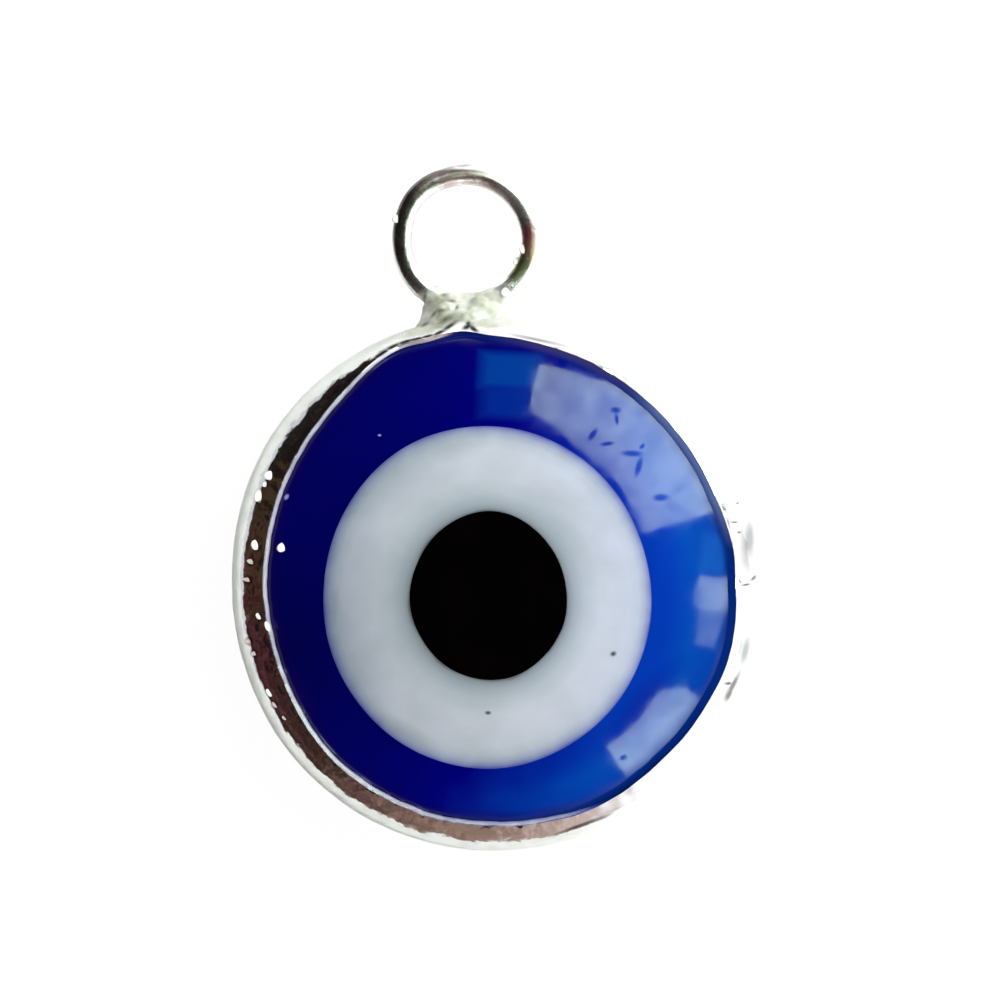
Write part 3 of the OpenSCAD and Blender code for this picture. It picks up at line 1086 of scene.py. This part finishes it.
# Each pane: how bright it is, and at some bearings round the charm how far down from overhead
# its upper and its lower edge are, in degrees
panes = {
    "pane_high": (6.1, (
        (16.5, 31.4, 47.8), (24, 31.4, 49.4), (31, 31.5, 51), (47, 31.8, 50.4), (56, 32, 47.4),
        (63, 32.4, 45.8), (70, 33.2, 45.3), (78, 35, 45.2))),
    "pane_right": (5.6, ((-8, 42, 48.6), (0.5, 42, 48.6))),
    "pane_right_low": (2.6, ((-18, 43.2, 47.5), (-8, 42.2, 48))),
    "pane_low": (6.0, (
        (-56.5, 42.6, 49.6), (-45, 41.6, 49.6), (-34, 41.4, 49.6), (-30.5, 45.5, 49.6))),
}
daylight = (0.81, 1.0, 0.80, 1)
# The panes grow brighter downwards between the first two heights, in metres, and dim again
# between the other two, at their lower edge
pane_bright_z = (0.30, 0.235)
pane_dim_z = (0.2375, 0.2265)


def towards(bearing, tilt):
    """The way to a bearing round the photograph and a tilt from overhead, in degrees."""
    a = math.radians(bearing) - photo_lean
    t = math.radians(tilt)
    return Vector((math.sin(t) * math.cos(a), math.sin(t) * math.sin(a), math.cos(t)))


def pane_patch(name, strength, outline):
    """A bright pane of the window, cloudy as the sky in it."""
    steps = 24
    bearings, upper, lower = np.array(outline).T
    points = [
        pane_distance * towards(at, np.interp(at, bearings, tilts)) for tilts in (upper, lower)
        for at in np.linspace(bearings[0], bearings[-1], steps + 1)
    ]
    faces = [(k, k + 1, steps + 2 + k, steps + 1 + k) for k in range(steps)]
    mesh = bpy.data.meshes.new(name)
    mesh.from_pydata(points, [], faces)
    made, tree, shader, add = new_material(name)
    tree.nodes.remove(shader)
    place = add("TexCoord").outputs["Object"]
    cloud = add("MapRange", noise_field(add, place, 24, 4), 0.35, 0.65, 0.72, 1.22).outputs[0]
    height = add("SeparateXYZ", place).outputs["Z"]
    low = add("MapRange", height, *pane_bright_z, 0.78, 1.22).outputs[0]
    fade = add("MapRange", height, *pane_dim_z, 1.0, 0.3).outputs[0]
    shine = strength
    for share in (cloud, low, fade):
        shine = times(add, share, shine)
    glow = add("Emission", daylight, shine)
    tree.links.new(glow.outputs[0], tree.nodes["Material Output"].inputs["Surface"])
    mesh.materials.append(made)
    pane = bpy.data.objects.new(name, mesh)
    bpy.context.scene.collection.objects.link(pane)
    pane.visible_camera = False


for pane_name, pane in panes.items():
    pane_patch(pane_name, *pane)


def soft_light(name, bearing, tilt, distance, size, power):
    """A soft lamp aimed at the charm, which polished surfaces don't show."""
    lamp = bpy.data.objects.new(name, bpy.data.lights.new(name, "AREA"))
    bpy.context.scene.collection.objects.link(lamp)
    lamp.data.size = size
    lamp.data.energy = power
    lamp.location = distance * towards(bearing, tilt)
    lamp.rotation_euler = lamp.location.to_track_quat("Z", "Y").to_euler()
    lamp.visible_glossy = False


soft_light("lamp_right", bearing=15, tilt=55, distance=0.5, size=0.25, power=1.3)
soft_light("lamp_over", bearing=0, tilt=0, distance=0.6, size=0.4, power=0.55)


def by_bearing(stops):
    """Stops of a ramp from bearings round the photograph, in degrees from the right."""
    lean = math.degrees(photo_lean)
    placed = [((bearing - lean + 180) % 360 / 360, colour) for bearing, colour in stops]
    return sorted(placed, key=lambda stop: stop[0])


def room():
    """The room as polished metal shows it: white to the right, brown and dim to the left."""
    world = bpy.data.worlds.new("room")
    bpy.context.scene.world = world
    world.use_nodes = True
    tree = world.node_tree
    add = node_adder(tree)
    direction = add("TexCoord").outputs["Generated"]
    way = add("SeparateXYZ", direction)
    height = way.outputs["Z"]
    bearing = add("Math", way.outputs["Y"], way.outputs["X"], operation="ARCTAN2").outputs[0]
    part = add("MapRange", bearing, -math.pi, math.pi, 0.0, 1.0).outputs[0]
    walls = ramp(add, part, by_bearing((
        (104, (0.10, 0.10, 0.09)),
        (122, (0.010, 0.009, 0.010)),
        (150, (0.012, 0.011, 0.012)),
        (165, (0.045, 0.034, 0.024)),
        (184, (0.060, 0.032, 0.027)),
        (206, (0.040, 0.017, 0.022)),
        (226, (0.050, 0.035, 0.032)),
        (240, (0.12, 0.075, 0.080)),
        (258, (0.24, 0.165, 0.145)),
        (272, (0.33, 0.235, 0.20)),
        (290, (0.60, 0.48, 0.47)),
        (302, (0.80, 0.80, 0.84)),
    )))
    stir = add("TexNoise", direction, None, 5.5, 3).outputs["Fac"]
    stirred = ramp(add, stir, (
        (0.34, (0.30, 0.34, 0.28)),
        (0.44, (1.35, 0.62, 0.62)),
        (0.52, (0.9, 1.3, 0.55)),
        (0.60, (1.7, 1.2, 1.1)),
        (0.70, (2.8, 2.2, 2.1)),
    ))
    patchy = ramp(add, part, by_bearing(levels(
        (222, 0.8), (250, 0.4), (272, 0.2), (300, 0.1), (104, 0.8),
    )))
    walls = blend(add, patchy, walls, stirred, "MULTIPLY")
    # Something pale and low stands on the left: its upper edge, raised so that none is below 0
    pale_raise = 0.25
    pale_soft = 0.03
    edge = ramp(add, part, by_bearing(levels(
        (103, 0.30), (110, 0.20), (120, 0.20), (134, 0.31), (150, 0.32), (165, 0.41), (180, 0.47),
        (190, 0.40), (200, 0.28), (210, 0.19), (225, 0.10), (285, 0.05),
    )))
    raised = add("Math", height, pale_raise, operation="ADD").outputs[0]
    below = add("Math", edge, raised, operation="SUBTRACT").outputs[0]
    pale = add("MapRange", below, -pale_soft, pale_soft, 0.0, 1.0).outputs[0]
    walls = blend(add, pale, walls, (0.66, 0.68, 0.72))
    bright = ramp(add, part, by_bearing(levels((-66, 0.0), (-55, 1.0), (96, 1.0), (104, 0.0))))
    walls = blend(add, bright, walls, (1.2, 1.2, 1.2))
    # Overhead is dark, from a height that changes round the room
    ceiling = ramp(add, part, by_bearing(levels(
        (96, 0.655), (104, 0.63), (117, 0.62), (127, 0.71), (214, 0.71), (226, 0.65), (308, 0.655),
    )))
    ceiling_soft = 0.012
    above = add("Math", height, ceiling, operation="SUBTRACT").outputs[0]
    overhead = add("MapRange", above, -ceiling_soft, ceiling_soft, 0.0, 1.0).outputs[0]
    seen = blend(add, overhead, walls, (0.010, 0.008, 0.009))
    direct = add("LightPath").outputs["Is Camera Ray"]
    tree.links.new(blend(add, direct, seen, (1.0, 1.0, 1.0)), tree.nodes["Background"].inputs["Color"])


room()
